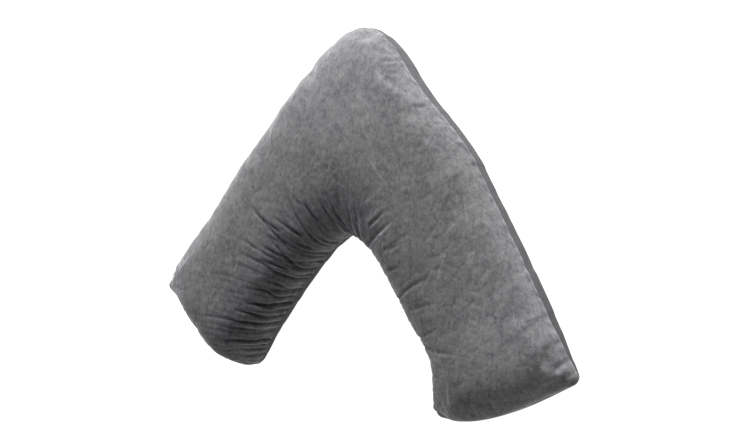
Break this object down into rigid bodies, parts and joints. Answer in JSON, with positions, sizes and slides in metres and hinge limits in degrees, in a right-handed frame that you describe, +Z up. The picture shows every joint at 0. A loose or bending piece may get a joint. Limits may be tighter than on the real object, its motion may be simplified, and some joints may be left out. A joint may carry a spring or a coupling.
{
  "type": "v shaped pillow",
  "caption": "V shaped filled pillow with a soft velour front panel, gathered folds round the inner bend and a plain cloth back panel.",
  "frame": {"origin": "on the surface that the pillow lies on, under the middle of its box", "axes": "+Z up out of the velour front, +Y towards the point of the V, +X across the two arms"},
  "size_m": [0.989, 0.7434, 0.152],
  "materials": {
    "velour_front": "matt grey velour with a brushed, blotchy nap",
    "plain_back": "matt plain woven grey cloth"
  },
  "bodies": {
    "root": {"filled_body": "velour_front", "back_panel": "plain_back"}
  },
  "joints": []
}
